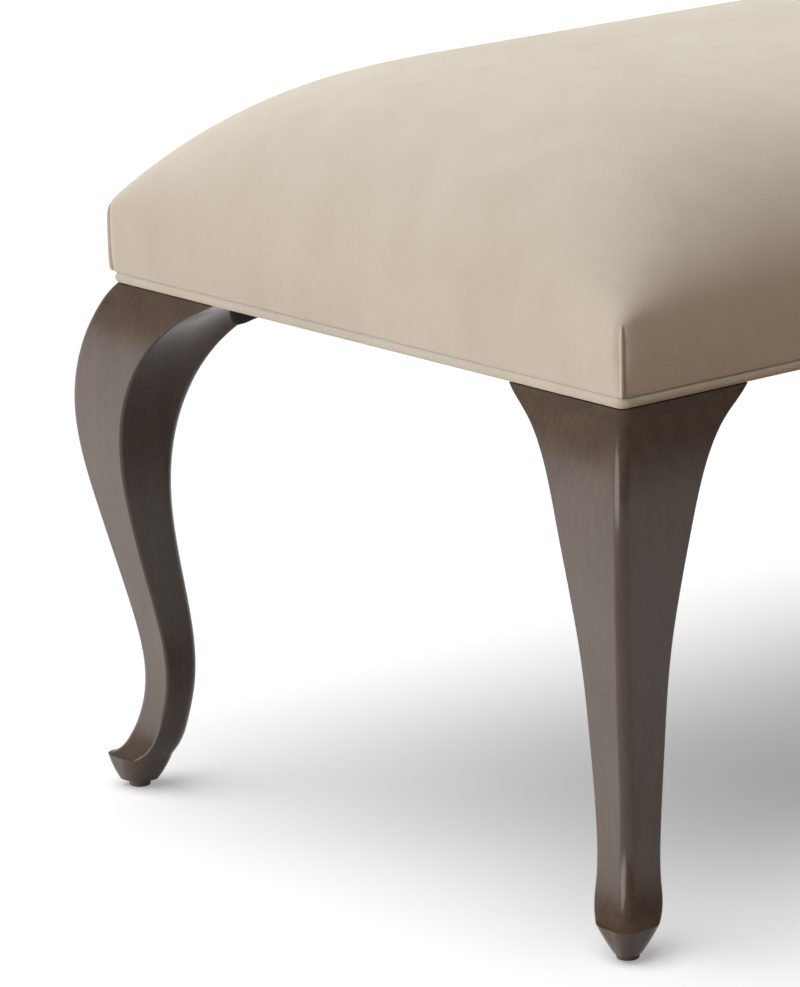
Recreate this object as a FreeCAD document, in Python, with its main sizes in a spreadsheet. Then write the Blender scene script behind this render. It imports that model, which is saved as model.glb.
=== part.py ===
# Upholstered bed bench: a crowned velvet seat on four cabriole legs, with its frame, webbing and padding.
# The origin is on the floor under the middle of the bench. X runs along it, Y from front to back, Z up.

import FreeCAD, Part
import math
import os
import Sketcher

Vector = FreeCAD.Vector
UP = Vector(0, 0, 1)
NODES = []

# Strap counts of the interlaced seat webbing
LONG_WEB_COUNT = 3
CROSS_WEB_COUNT = 7

# Cross sections that shape each end of the crown, crowded towards the end by a power
END_SECTION_COUNT = 7
END_CROWDING_POWER = 2.2

# Driving dimensions, in millimetres. "out" and "in" are measured from the outer planes of the piping.
SIZES = {
    "seat_length": 1200,
    "seat_width": 500,
    "leg_height": 345,
    "side_height": 52,
    "crown_rise": 103,
    "end_run": 220,
    "end_fullness": 3.3,
    "side_fullness": 2.6,
    "shoulder_reach": 42,
    "haunch_reach": 120,
    "side_bulge": 1.7,
    "draw_in": 2.4,
    "draw_top": 0.6,
    "cover_thickness": 1.2,
    "padding_thickness": 3,
    "piping_diameter": 7,
    "piping_corner": 7.5,
    "hem_width": 18,
    "soft_gap": 0.2,
    "rail_thickness": 24,
    "rail_height": 40,
    "brace_width": 50,
    "brace_height": 22,
    "block_side": 90,
    "block_end": 12,
    "block_height": 26,
    "web_width": 60,
    "web_thickness": 1.2,
    "web_margin": 5,
    "deck_thickness": 0.8,
    "deck_inset": 4,
    "dust_thickness": 0.6,
    "dust_inset": 14,
    "dust_notch_gap": 2,
    "foot_inset": 6.7,
    "base_out": 4.2,
    "base_in": 17.2,
    "base_toe": 5.5,
    "base_heel": 6,
    "base_flank": 14.5,
    "pad_height": 12,
    "pad_out": 7.8,
    "pad_in": 21.5,
    "pad_toe": 8,
    "pad_heel": 8.5,
    "pad_flank": 16,
    "rim_height": 22.2,
    "rim_out": 11,
    "rim_in": 25.9,
    "rim_toe": 10,
    "rim_heel": 11,
    "rim_flank": 15.5,
    "instep_height": 25.2,
    "instep_out": 5,
    "instep_in": 27.5,
    "instep_toe": 8,
    "instep_heel": 11,
    "instep_flank": 6,
    "vamp_height": 33,
    "vamp_out": 0,
    "vamp_in": 30.8,
    "arch_height": 44,
    "arch_out": -4,
    "arch_in": 33.4,
    "ankle_height": 72,
    "ankle_out": -8.5,
    "ankle_in": 37.4,
    "shank_height": 128,
    "shank_out": -2.2,
    "shank_in": 35.3,
    "calf_height": 195,
    "calf_out": 11.6,
    "calf_in": 29,
    "knee_drop": 77,
    "knee_out": 20.7,
    "knee_in": 37,
    "brow_drop": 33,
    "brow_out": 14.2,
    "brow_in": 58.5,
    "eave_drop": 15,
    "eave_out": 7.6,
    "eave_in": 78,
    "top_out": -1.5,
    "top_in": 105,
    "arris_outer": 7,
    "arris_side": 2,
    "arris_inner": 11,
    "glide_radius": 7.2,
    "glide_height": 4.6,
    "glide_round": 1.2,
    "glide_floor": 1.6,
    "nail_radius": 1.2,
    "nail_length": 18,
    "bolt_radius": 4,
    "bolt_inset": 46,
    "bolt_depth": 34,
    "bolt_tip": 8,
    "bolt_spare": 2.5,
    "washer_radius": 9,
    "washer_thickness": 1.6,
    "nut_radius": 7.5,
    "nut_height": 6.5,
    "hole_gap": 0.2,
    "dowel_radius": 4,
    "dowel_chamfer": 1,
    "dowel_in_rail": 15,
    "dowel_in_end": 24,
    "dowel_spread": 16,
    "screw_radius": 2,
    "screw_head": 4,
    "screw_head_height": 3,
    "screw_length": 45,
    "screw_in_rail": 17,
    "screw_place": 62,
}

# Sizes that follow from the driving dimensions, so that pieces which meet share one value
FITS = {
    "rail_inset": "=sizes.piping_diameter + sizes.cover_thickness + 2 * sizes.soft_gap",
    "frame_length": "=sizes.seat_length - 2 * rail_inset",
    "frame_width": "=sizes.seat_width - 2 * rail_inset",
    "inner_length": "=frame_length - 2 * sizes.rail_thickness",
    "inner_width": "=frame_width - 2 * sizes.rail_thickness",
    "rail_base": "=sizes.leg_height + sizes.cover_thickness",
    "rail_top": "=rail_base + sizes.rail_height",
    "deck_base": "=rail_top + 2 * sizes.web_thickness",
    "deck_top": "=deck_base + sizes.deck_thickness",
    "piping_top": "=sizes.leg_height + sizes.piping_diameter + 2 * sizes.soft_gap",
    "knee_height": "=sizes.leg_height - sizes.knee_drop",
    "brow_height": "=sizes.leg_height - sizes.brow_drop",
    "eave_height": "=sizes.leg_height - sizes.eave_drop",
    "block_top": "=sizes.leg_height + sizes.block_height",
    "block_corner": "=rail_inset + sizes.rail_thickness",
    "bolt_top": "=block_top + sizes.washer_thickness + sizes.nut_height + sizes.bolt_spare",
    "hole_radius": "=sizes.bolt_radius + sizes.hole_gap",
}

doc = FreeCAD.newDocument("bed_bench")


def make_sheet(name, cells):
    """Spreadsheet with one named cell per row."""
    sheet = doc.addObject("Spreadsheet::Sheet", name)
    for row, (alias, content) in enumerate(cells.items(), start=1):
        sheet.set(f"A{row}", alias)
        sheet.set(f"B{row}", str(content))
        sheet.setAlias(f"B{row}", alias)
    doc.recompute()
    return sheet


sizes = make_sheet("sizes", SIZES)
fits = make_sheet("fits", FITS)


def size(alias):
    """Number held by a driving dimension."""
    return float(sizes.get(alias))


def fit(alias):
    """Number held by a derived size."""
    return float(fits.get(alias))


def bind(thing, **expressions):
    """Tie properties to sheet cells. A double underscore stands for a dot in a property's path."""
    for path, expression in expressions.items():
        thing.setExpression(path.replace("__", "."), expression)


def place(thing, x, y, z):
    """Tie an object's position to sheet cells."""
    bind(thing, Placement__Base__x=x, Placement__Base__y=y, Placement__Base__z=z)


def node(thing, label):
    """Register an object as a sub-part under the name of its file."""
    thing.Label = label
    NODES.append(thing)
    return thing


def feature(name, shape):
    """Document object that holds a shape made with Part's own functions."""
    thing = doc.addObject("Part::Feature", name)
    thing.Shape = shape
    return thing


def box(name, length, width, height, x, y, z):
    """Block whose sizes and place follow the sheets."""
    thing = doc.addObject("Part::Box", name)
    bind(thing, Length=length, Width=width, Height=height)
    place(thing, x, y, z)
    return thing


def cut(name, base, *tools):
    """Base with every tool taken away from it, one after the other."""
    thing = base
    for count, tool in enumerate(tools):
        step = doc.addObject("Part::Cut", f"{name}_{count}")
        step.Base = thing
        step.Tool = tool
        thing = step
    doc.recompute()
    return thing


def fuse(name, base, tool):
    """Union of two objects."""
    thing = doc.addObject("Part::Fuse", name)
    thing.Base = base
    thing.Tool = tool
    doc.recompute()
    return thing


# Corners of the bench, in the order of a quarter turn each: name, side of X and side of Y
CORNERS = (
    ("front_left", -1, -1),
    ("front_right", 1, -1),
    ("back_right", 1, 1),
    ("back_left", -1, 1),
)


def corner_turns():
    """Name, X and Y sides and turn of each corner. A corner's own X and Y point into the bench."""
    for quarter, (name, side_x, side_y) in enumerate(CORNERS):
        yield name, side_x, side_y, FreeCAD.Rotation(UP, 90 * quarter)


def corner_placement(side_x, side_y, turn):
    """Place of a corner's own frame: the crossing of the outer piping planes, on the floor."""
    corner = Vector(side_x * size("seat_length") / 2, side_y * size("seat_width") / 2, 0)
    return FreeCAD.Placement(corner, turn)


def corner_nodes(shape, suffix):
    """One node per corner, each a turned copy of the same piece."""
    for name, side_x, side_y, turn in corner_turns():
        label = f"{name}_{suffix}"
        thing = node(feature(label, shape), label)
        bind(
            thing,
            Placement__Base__x=f"{side_x} * sizes.seat_length / 2",
            Placement__Base__y=f"{side_y} * sizes.seat_width / 2",
        )
        thing.Placement.Rotation = turn


def corner_group(shapes):
    """Compound of the given corner pieces at all four corners."""
    copies = []
    for name, side_x, side_y, turn in corner_turns():
        for shape in shapes:
            copy = shape.copy()
            copy.Placement = corner_placement(side_x, side_y, turn).multiply(copy.Placement)
            copies.append(copy)
    return Part.makeCompound(copies)


# %% Legs

def level_sketch(body, name, height):
    """Sketch on a level plane of its body, at a height given by a sheet expression."""
    ground = [plane for plane in body.Origin.OriginFeatures if plane.Role == "XY_Plane"][0]
    sketch = body.newObject("Sketcher::SketchObject", name)
    sketch.AttachmentSupport = [(ground, "")]
    sketch.MapMode = "FlatFace"
    sketch.setExpression("AttachmentOffset.Base.z", height)
    return sketch


def dimension(sketch, name, expression, *constraint):
    """Named dimension of a sketch, tied to the sheets."""
    index = sketch.addConstraint(Sketcher.Constraint(*constraint))
    sketch.renameConstraint(index, name)
    sketch.setExpression(f"Constraints.{name}", expression)


def leg_section(body, station, height, toe="arris_outer", heel="arris_inner", flank="arris_side"):
    """Square section of the leg, the same from both sides as the saw left it, with its corners rounded."""
    sketch = level_sketch(body, f"{station}_section", height)
    low = -size(f"{station}_out")
    high = size(f"{station}_in")
    side, inner, outer = size(flank), size(heel), size(toe)
    outline = (
        (Vector(low + outer, low), Vector(high - side, low), Vector(high - side, low + side), side),
        (Vector(high, low + side), Vector(high, high - inner), Vector(high - inner, high - inner), inner),
        (Vector(high - inner, high), Vector(low + side, high), Vector(low + side, high - side), side),
        (Vector(low, high - side), Vector(low, low + outer), Vector(low + outer, low + outer), outer),
    )
    for turn, (start, end, centre, radius) in enumerate(outline):
        sketch.addGeometry(Part.LineSegment(start, end))
        first = (turn - 1) * math.pi / 2
        sketch.addGeometry(Part.ArcOfCircle(Part.Circle(centre, UP, radius), first, first + math.pi / 2))
    edges = 2 * len(outline)
    for edge in range(edges):
        sketch.addConstraint(Sketcher.Constraint("Tangent", edge, 2, (edge + 1) % edges, 1))
    for line, kind in ((0, "Horizontal"), (2, "Vertical"), (4, "Horizontal"), (6, "Vertical")):
        sketch.addConstraint(Sketcher.Constraint(kind, line))
    dimension(sketch, "front", f"-sizes.{station}_out", "DistanceY", -1, 1, 0, 1, low)
    dimension(sketch, "right", f"sizes.{station}_in", "DistanceX", -1, 1, 2, 1, high)
    dimension(sketch, "back", f"sizes.{station}_in", "DistanceY", -1, 1, 4, 1, high)
    dimension(sketch, "left", f"-sizes.{station}_out", "DistanceX", -1, 1, 6, 1, low)
    dimension(sketch, "right_front", f"sizes.{flank}", "Radius", 1, side)
    dimension(sketch, "right_back", f"sizes.{heel}", "Radius", 3, inner)
    dimension(sketch, "left_back", f"sizes.{flank}", "Radius", 5, side)
    dimension(sketch, "left_front", f"sizes.{toe}", "Radius", 7, outer)
    return sketch


def foot_section(body, station, height):
    """Section of the carved foot, whose corners round off towards the sole."""
    return leg_section(body, station, height, f"{station}_toe", f"{station}_heel", f"{station}_flank")


def loft(body, name, sections):
    """Smooth stretch of wood through sections of one body."""
    stretch = body.newObject("PartDesign::AdditiveLoft", name)
    stretch.Profile = sections[0]
    stretch.Sections = sections[1:]
    doc.recompute()


def drill(body, name, height, inset, radius, depth, upward):
    """Blind round hole in a body, from a flat face at a height, downward or upward."""
    sketch = level_sketch(body, f"{name}_circle", height)
    sketch.addGeometry(Part.Circle(Vector(1, 1, 0), UP, 1))
    dimension(sketch, "across", inset, "DistanceX", -1, 1, 0, 3, 1)
    dimension(sketch, "along", inset, "DistanceY", -1, 1, 0, 3, 1)
    dimension(sketch, "bore", radius, "Radius", 0, 1)
    doc.recompute()
    before = body.Shape.Volume
    pocket = body.newObject("PartDesign::Pocket", name)
    pocket.Profile = sketch
    pocket.Reversed = upward
    bind(pocket, Length=depth)
    doc.recompute()
    if body.Shape.Volume >= before:
        raise RuntimeError(f"{name} removed no wood")


leg = doc.addObject("PartDesign::Body", "leg_pattern")
rim = foot_section(leg, "rim", "sizes.rim_height")
foot_sections = [
    rim,
    foot_section(leg, "pad", "sizes.pad_height"),
    foot_section(leg, "base", "sizes.glide_height"),
]
leg_sections = [
    rim,
    foot_section(leg, "instep", "sizes.instep_height"),
    leg_section(leg, "vamp", "sizes.vamp_height"),
    leg_section(leg, "arch", "sizes.arch_height"),
    leg_section(leg, "ankle", "sizes.ankle_height"),
    leg_section(leg, "shank", "sizes.shank_height"),
    leg_section(leg, "calf", "sizes.calf_height"),
    leg_section(leg, "knee", "fits.knee_height"),
    leg_section(leg, "brow", "fits.brow_height"),
    leg_section(leg, "eave", "fits.eave_height"),
    leg_section(leg, "top", "sizes.leg_height"),
]
doc.recompute()
loft(leg, "cabriole", leg_sections)
loft(leg, "pad_foot", foot_sections)
drill(leg, "bolt_hole", "sizes.leg_height", "sizes.bolt_inset", "fits.hole_radius",
      "sizes.bolt_depth + sizes.hole_gap", False)
drill(leg, "nail_hole", "sizes.glide_height", "sizes.foot_inset", "sizes.nail_radius + sizes.hole_gap",
      "sizes.nail_length", True)
corner_nodes(leg.Shape, "leg")


# %% Floor glides and their nails

glide_disc = doc.addObject("Part::Cylinder", "glide_disc")
bind(glide_disc, Radius="sizes.glide_radius", Height="sizes.glide_height")
place(glide_disc, "sizes.foot_inset", "sizes.foot_inset", "0")
doc.recompute()
glide_cap = doc.addObject("Part::Fillet", "glide_cap")
glide_cap.Base = glide_disc
floor_edges = [
    number
    for number, edge in enumerate(glide_disc.Shape.Edges, start=1)
    if len(edge.Vertexes) == 1 and abs(edge.CenterOfMass.z) < size("glide_round") / 2
]
glide_cap.Edges = [(number, size("glide_round"), size("glide_round")) for number in floor_edges]
nail_bore = doc.addObject("Part::Cylinder", "nail_bore")
bind(nail_bore, Radius="sizes.nail_radius + sizes.hole_gap", Height="sizes.glide_height")
place(nail_bore, "sizes.foot_inset", "sizes.foot_inset", "sizes.glide_floor")
corner_nodes(cut("glide", glide_cap, nail_bore).Shape, "glide")

foot_axis = Vector(size("foot_inset"), size("foot_inset"), size("glide_floor"))
nail = Part.makeCylinder(size("nail_radius"), size("nail_length"), foot_axis)
node(feature("glide_nails", corner_group([nail])), "glide_nails")


# %% Hanger bolts, washers and nuts, one set in each corner

bolt_axis = Vector(size("bolt_inset"), size("bolt_inset"), 0)
bolt_tip = bolt_axis + UP * (size("leg_height") - size("bolt_depth"))
bolt_shank = bolt_tip + UP * size("bolt_tip")
point = Part.makeCone(size("bolt_radius") / 4, size("bolt_radius"), size("bolt_tip"), bolt_tip)
shank_length = fit("bolt_top") - bolt_shank.z
bolt = point.fuse(Part.makeCylinder(size("bolt_radius"), shank_length, bolt_shank)).removeSplitter()
node(feature("hanger_bolts", corner_group([bolt])), "hanger_bolts")

washer_base = bolt_axis + UP * fit("block_top")
washer_hole = Part.makeCylinder(fit("hole_radius"), size("washer_thickness"), washer_base)
washer = Part.makeCylinder(size("washer_radius"), size("washer_thickness"), washer_base).cut(washer_hole)
node(feature("bolt_washers", corner_group([washer])), "bolt_washers")

hexagon = doc.addObject("Part::Prism", "nut_blank")
hexagon.Polygon = 6
bind(hexagon, Circumradius="sizes.nut_radius", Height="sizes.nut_height")
place(hexagon, "sizes.bolt_inset", "sizes.bolt_inset", "fits.block_top + sizes.washer_thickness")
nut_hole = doc.addObject("Part::Cylinder", "nut_hole")
bind(nut_hole, Radius="fits.hole_radius", Height="sizes.nut_height")
place(nut_hole, "sizes.bolt_inset", "sizes.bolt_inset", "fits.block_top + sizes.washer_thickness")
nut = cut("nut", hexagon, nut_hole)
node(feature("bolt_nuts", corner_group([nut.Shape])), "bolt_nuts")


# %% Dowels of the rail joints and screws of the corner blocks, with the holes that they sit in

def dowel(middle_x, joint_y, height, toward):
    """Dowel along Y across the joint face at joint_y. The rail lies on the side that toward points to."""
    start = Vector(middle_x, joint_y + toward * size("dowel_in_rail"), height)
    length = size("dowel_in_rail") + size("dowel_in_end")
    direction = Vector(0, -toward, 0)
    chamfer = size("dowel_chamfer")
    radius = size("dowel_radius")
    peg = Part.makeCylinder(radius, length, start, direction)
    ends = [edge for edge in peg.Edges if len(edge.Vertexes) == 1]
    gap = size("hole_gap")
    hole = Part.makeCylinder(radius + gap, length + 2 * gap, start - direction * gap, direction)
    return peg.makeChamfer(chamfer, ends), hole


def joint_dowels():
    """Two dowels in each joint between a long rail and an end rail or the brace."""
    rail_middle = fit("rail_base") + size("rail_height") / 2
    brace_middle = fit("rail_base") + size("brace_height") / 2
    end_x = fit("inner_length") / 2 + size("rail_thickness") / 2
    spread = size("dowel_spread") / 2
    brace_spread = size("brace_width") / 2 - size("dowel_spread")
    places = []
    for side in (-1, 1):
        places += [(side * end_x, rail_middle - spread), (side * end_x, rail_middle + spread)]
        places.append((side * brace_spread, brace_middle))
    for x, height in places:
        for toward in (-1, 1):
            yield dowel(x, toward * fit("inner_width") / 2, height, toward)


def block_screw(along):
    """Countersunk screw square to one rail of a corner, with its hole through the corner block."""
    corner = fit("block_corner")
    place_along = corner + size("screw_place")
    height = size("leg_height") + size("block_height") / 2
    head_depth = corner - size("screw_in_rail") + size("screw_length")
    spread = Vector(0, 1, 0) if along.x else Vector(1, 0, 0)
    head = along * head_depth + spread * place_along + UP * height
    inward = along * -1
    radius = size("screw_radius")
    gap = size("hole_gap")
    neck = head + inward * size("screw_head_height")
    shank_length = size("screw_length") - size("screw_head_height")
    countersink = Part.makeCone(size("screw_head"), radius, size("screw_head_height"), head, inward)
    shank = Part.makeCylinder(radius, shank_length, neck, inward)
    screw = countersink.fuse(shank).removeSplitter()
    hole = Part.makeCylinder(radius + gap, shank_length + gap, neck, inward)
    sink = Part.makeCone(size("screw_head") + gap, radius + gap, size("screw_head_height"), head, inward)
    bore = Part.makeCylinder(size("screw_head") + gap, size("block_side"), head, along)
    return screw, [hole, sink, bore]


pegs, peg_holes = zip(*joint_dowels())
node(feature("rail_dowels", Part.makeCompound(pegs)), "rail_dowels")
screws, screw_holes = zip(*(block_screw(along) for along in (Vector(1, 0, 0), Vector(0, 1, 0))))
node(feature("block_screws", corner_group(screws)), "block_screws")
bolt_hole = Part.makeCylinder(fit("hole_radius"), size("block_height"), bolt_axis + UP * size("leg_height"))
block_holes = corner_group([bolt_hole] + [tool for tools in screw_holes for tool in tools])
rail_holes = corner_group([tools[0] for tools in screw_holes])
frame_holes = feature("frame_holes", Part.makeCompound(list(peg_holes) + rail_holes.Solids))
corner_holes = feature("corner_holes", block_holes)


# %% Seat frame

long_rails = (("front_rail", "-fits.frame_width / 2"), ("back_rail", "fits.inner_width / 2"))
for label, front in long_rails:
    blank = box(f"{label}_blank", "fits.frame_length", "sizes.rail_thickness", "sizes.rail_height",
                "-fits.frame_length / 2", front, "fits.rail_base")
    node(cut(label, blank, frame_holes), label)

end_rails = (("left_rail", "-fits.frame_length / 2"), ("right_rail", "fits.inner_length / 2"))
for label, left in end_rails:
    blank = box(f"{label}_blank", "sizes.rail_thickness", "fits.inner_width", "sizes.rail_height",
                left, "-fits.inner_width / 2", "fits.rail_base")
    node(cut(label, blank, frame_holes), label)

brace_blank = box("brace_blank", "sizes.brace_width", "fits.inner_width", "sizes.brace_height",
                  "-sizes.brace_width / 2", "-fits.inner_width / 2", "fits.rail_base")
node(cut("brace", brace_blank, frame_holes), "centre_brace")

block_origin = Vector(fit("block_corner"), fit("block_corner"), size("leg_height"))
block_outline = [
    Vector(0, 0, 0),
    Vector(size("block_side"), 0, 0),
    Vector(size("block_side"), size("block_end"), 0),
    Vector(size("block_end"), size("block_side"), 0),
    Vector(0, size("block_side"), 0),
]
block_face = Part.Face(Part.makePolygon(block_outline + block_outline[:1]))
block_face.translate(block_origin)
block = block_face.extrude(UP * size("block_height"))
for name, side_x, side_y, turn in corner_turns():
    blank = feature(f"{name}_block_blank", block)
    blank.Placement = corner_placement(side_x, side_y, turn)
    node(cut(f"{name}_block", blank, corner_holes), f"{name}_block")


# %% Interlaced webbing and the cloth over it

def woven_strap(length, crossings, starts_over):
    """Strap along X, lying on the rails at its ends, alternately over and under the straps it crosses."""
    thickness = size("web_thickness")
    reach = size("web_width") / 2 + size("web_margin")
    underside = [Vector(-length / 2, 0, 0)]
    for count, crossing in enumerate(crossings):
        level = thickness if (count + starts_over) % 2 else 0
        underside += [Vector(crossing - reach, 0, level), Vector(crossing + reach, 0, level)]
    underside.append(Vector(length / 2, 0, 0))
    upper = [point + UP * thickness for point in reversed(underside)]
    side = Part.Face(Part.makePolygon(underside + upper + underside[:1]))
    side.translate(Vector(0, -size("web_width") / 2, 0))
    return side.extrude(Vector(0, size("web_width"), 0)).removeSplitter()


def spread_evenly(count, span):
    """Places of straps that divide a span evenly, from its middle."""
    return [span * (number / (count + 1) - 0.5) for number in range(1, count + 1)]


long_places = spread_evenly(LONG_WEB_COUNT, fit("inner_width"))
cross_places = spread_evenly(CROSS_WEB_COUNT, fit("inner_length"))
for number, y in enumerate(long_places):
    label = f"long_web_{number + 1}"
    strap = node(feature(label, woven_strap(fit("frame_length"), cross_places, number)), label)
    strap.Placement.Base = Vector(0, y, fit("rail_top"))
for number, x in enumerate(cross_places):
    label = f"cross_web_{number + 1}"
    strap = node(feature(label, woven_strap(fit("frame_width"), long_places, number + 1)), label)
    strap.Placement = FreeCAD.Placement(Vector(x, 0, fit("rail_top")), FreeCAD.Rotation(UP, 90))

deck = box("deck", "fits.frame_length - 2 * sizes.deck_inset", "fits.frame_width - 2 * sizes.deck_inset",
           "sizes.deck_thickness", "-fits.frame_length / 2 + sizes.deck_inset",
           "-fits.frame_width / 2 + sizes.deck_inset", "fits.deck_base")
node(deck, "deck_cloth")


# %% Crowned seat: foam, padding and velvet cover are nested forms of one crown

def crown_along(distance):
    """Share of the crown reached this far in from an end of the seat."""
    run = min(distance / size("end_run"), 1)
    return math.sqrt(1 - (1 - run) ** size("end_fullness"))


def crown_across(distance, half):
    """Share of the crown reached this far in from a long side, half the seat's width being half."""
    return math.sqrt(1 - (1 - distance / half) ** size("side_fullness"))


def tangent_arc(start, direction, end):
    """Arc in a YZ plane that leaves start along a direction, and its direction at the end."""
    chord = end - start
    normal = Vector(0, -direction.z, direction.y)
    centre = start + normal * (chord.dot(chord) / (2 * chord.dot(normal)))
    outward = ((start + end) * 0.5 - centre).normalize()
    middle = centre + outward * (start - centre).Length
    chord.normalize()
    return Part.Arc(start, middle, end), chord * (2 * direction.dot(chord)) - direction


def crown_section(x, distance, inset, base):
    """Outline of the seat across its width: drawn-in sides, shoulders, haunches and crown."""
    half = size("seat_width") / 2 + size("side_bulge") - inset
    side_top = size("leg_height") + size("side_height") - inset
    rise = size("crown_rise") * crown_along(distance)

    def on_crown(reach):
        return Vector(x, half - reach, side_top + rise * crown_across(reach, half))

    apex = on_crown(half)
    haunch = on_crown(size("haunch_reach"))
    shoulder = on_crown(size("shoulder_reach"))
    brim = Vector(x, half - size("draw_top"), side_top)
    belly = Vector(x, half, (side_top + base) / 2)
    hem = Vector(x, half - size("draw_in"), base)

    def other(point):
        return Vector(point.x, -point.y, point.z)

    crown = Part.Arc(other(haunch), apex, haunch).toShape()
    leaving = Vector(0, haunch.z - crown.Curve.Center.z, -haunch.y).normalize()
    haunch_arc, leaving = tangent_arc(haunch, leaving, shoulder)
    shoulder_arc, leaving = tangent_arc(shoulder, leaving, brim)
    side = Part.Arc(brim, belly, hem)
    half_outline = [haunch_arc.toShape(), shoulder_arc.toShape(), side.toShape()]
    mirrored = [edge.mirror(Vector(0, 0, 0), Vector(0, 1, 0)) for edge in half_outline]
    bottom = Part.LineSegment(hem, other(hem)).toShape()
    return Part.Wire([crown] + half_outline + [bottom] + mirrored[::-1])


def end_outline(inset, base):
    """Side view of the seat's ends, bellied like its long sides, as a block through the whole width."""
    half = size("seat_length") / 2 + size("side_bulge") - inset
    side_top = size("leg_height") + size("side_height") - inset
    ceiling = side_top + size("crown_rise") + size("side_height")
    depth = size("seat_width")
    middle = (side_top + base) / 2
    edges = []
    for side in (1, -1):
        brim = Vector(side * (half - size("draw_top")), -depth, side_top)
        belly = Vector(side * half, -depth, middle)
        hem = Vector(side * (half - size("draw_in")), -depth, base)
        edges.append(Part.Arc(hem, belly, brim).toShape())
        edges.append(Part.LineSegment(brim, Vector(brim.x, -depth, ceiling)).toShape())
        if side > 0:
            edges.append(Part.LineSegment(hem, Vector(-hem.x, -depth, base)).toShape())
            edges.append(Part.LineSegment(edges[1].Vertexes[1].Point,
                                          Vector(-brim.x, -depth, ceiling)).toShape())
    outline = Part.Wire(Part.__sortEdges__(edges))
    return Part.Face(outline).extrude(Vector(0, 2 * depth, 0))


def seat_form(inset, base):
    """Crowned seat shrunk by inset on its top and sides, standing on base."""
    half = size("seat_length") / 2 + size("side_bulge") - inset
    shares = [step / (END_SECTION_COUNT - 1) for step in range(END_SECTION_COUNT)]
    distances = [size("end_run") * share ** END_CROWDING_POWER for share in shares]
    places = [(distance - half, distance) for distance in distances]
    places += [(half - distance, distance) for distance in reversed(distances)]
    wires = [crown_section(x, max(distance, size("draw_in")), inset, base) for x, distance in places]
    return Part.makeLoft(wires, True).common(end_outline(inset, base))


cover_thickness = size("cover_thickness")
padding_inset = cover_thickness + size("soft_gap")
room_inset = padding_inset + size("padding_thickness")
foam_inset = room_inset + size("soft_gap")
shelf_top = fit("piping_top") + cover_thickness
cover_form = feature("cover_form", seat_form(0, fit("piping_top")))
cover_room = feature("cover_room", seat_form(cover_thickness, shelf_top))
padding_form = feature("padding_form", seat_form(padding_inset, shelf_top + size("soft_gap")))
foam_room = feature("foam_room", seat_form(room_inset, shelf_top))
foam_form = feature("foam_form", seat_form(foam_inset, shelf_top))
doc.recompute()


def frame_box(name, margin, base, top):
    """Block round the frame, wider than it by a margin on every side."""
    length = f"fits.frame_length + 2 * {margin}"
    width = f"fits.frame_width + 2 * {margin}"
    left = f"-fits.frame_length / 2 - {margin}"
    front = f"-fits.frame_width / 2 - {margin}"
    return box(name, length, width, f"{top} - {base}", left, front, base)


under_deck = frame_box("under_deck", "sizes.rail_thickness", "sizes.leg_height", "fits.deck_top")
node(cut("foam", foam_form, under_deck), "foam_core")

room_over_deck = cut("room_over_deck", foam_room, under_deck)
frame_room = frame_box("frame_room", "sizes.soft_gap", "sizes.leg_height", "fits.deck_top")
node(cut("padding", padding_form, room_over_deck, frame_room), "padding_wrap")

WALL = "(sizes.soft_gap + sizes.cover_thickness)"
lower_wall = frame_box("lower_wall", WALL, "sizes.leg_height", "fits.piping_top")
cover_blank = fuse("cover_blank", cover_form, lower_wall)
lower_room = frame_box("lower_room", "sizes.soft_gap", "fits.rail_base",
                       "(fits.piping_top + 2 * sizes.cover_thickness)")
hem_opening = frame_box("hem_opening", "-sizes.hem_width", "(sizes.leg_height - sizes.cover_thickness)",
                        "(fits.rail_base + sizes.cover_thickness)")
node(cut("cover", cover_blank, cover_room, lower_room, hem_opening), "seat_cover")


# %% Piping round the bottom edge and the cloth under the frame

def rounded_rectangle(length, width, radius, height):
    """Level closed path with round corners, from the middle of its front side."""
    half_x = length / 2
    half_y = width / 2
    bow = radius * (1 - math.sqrt(0.5))
    edges = []
    for side_x, side_y in ((1, -1), (1, 1), (-1, 1), (-1, -1)):
        near = Vector(side_x * (half_x - radius), side_y * half_y, height)
        far = Vector(side_x * half_x, side_y * (half_y - radius), height)
        middle = Vector(side_x * (half_x - bow), side_y * (half_y - bow), height)
        edges.append(Part.Arc(near, middle, far).toShape())
    for side in (-1, 1):
        run_x = half_x - radius
        run_y = half_y - radius
        start = Vector(-run_x, side * half_y, height)
        edges.append(Part.LineSegment(start, Vector(run_x, side * half_y, height)).toShape())
        start = Vector(side * half_x, -run_y, height)
        edges.append(Part.LineSegment(start, Vector(side * half_x, run_y, height)).toShape())
    return Part.Wire(Part.__sortEdges__(edges))


piping_radius = size("piping_diameter") / 2
piping_height = size("leg_height") + size("soft_gap") + piping_radius
piping_length = size("seat_length") - size("piping_diameter")
piping_width = size("seat_width") - size("piping_diameter")
piping_bend = size("piping_corner") - piping_radius
piping_path = rounded_rectangle(piping_length, piping_width, piping_bend, piping_height)
first_edge = piping_path.OrderedEdges[0]
path_direction = first_edge.tangentAt(first_edge.FirstParameter)
path_start = first_edge.valueAt(first_edge.FirstParameter)
piping_circle = Part.Wire(Part.makeCircle(piping_radius, path_start, path_direction))
piping = piping_path.makePipeShell([piping_circle], True, False)
node(feature("welt_piping", piping), "welt_piping")

dust_sheet = box("dust_sheet", "sizes.seat_length - 2 * sizes.dust_inset",
                 "sizes.seat_width - 2 * sizes.dust_inset", "sizes.dust_thickness",
                 "-sizes.seat_length / 2 + sizes.dust_inset", "-sizes.seat_width / 2 + sizes.dust_inset",
                 "sizes.leg_height - sizes.dust_thickness")
notch_side = size("top_in") + size("dust_notch_gap")
notch = Part.makeBox(notch_side, notch_side, size("leg_height"))
dust_notches = feature("dust_notches", corner_group([notch]))
node(cut("dust", dust_sheet, dust_notches), "dust_cover")


# %% Checks and export

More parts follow.
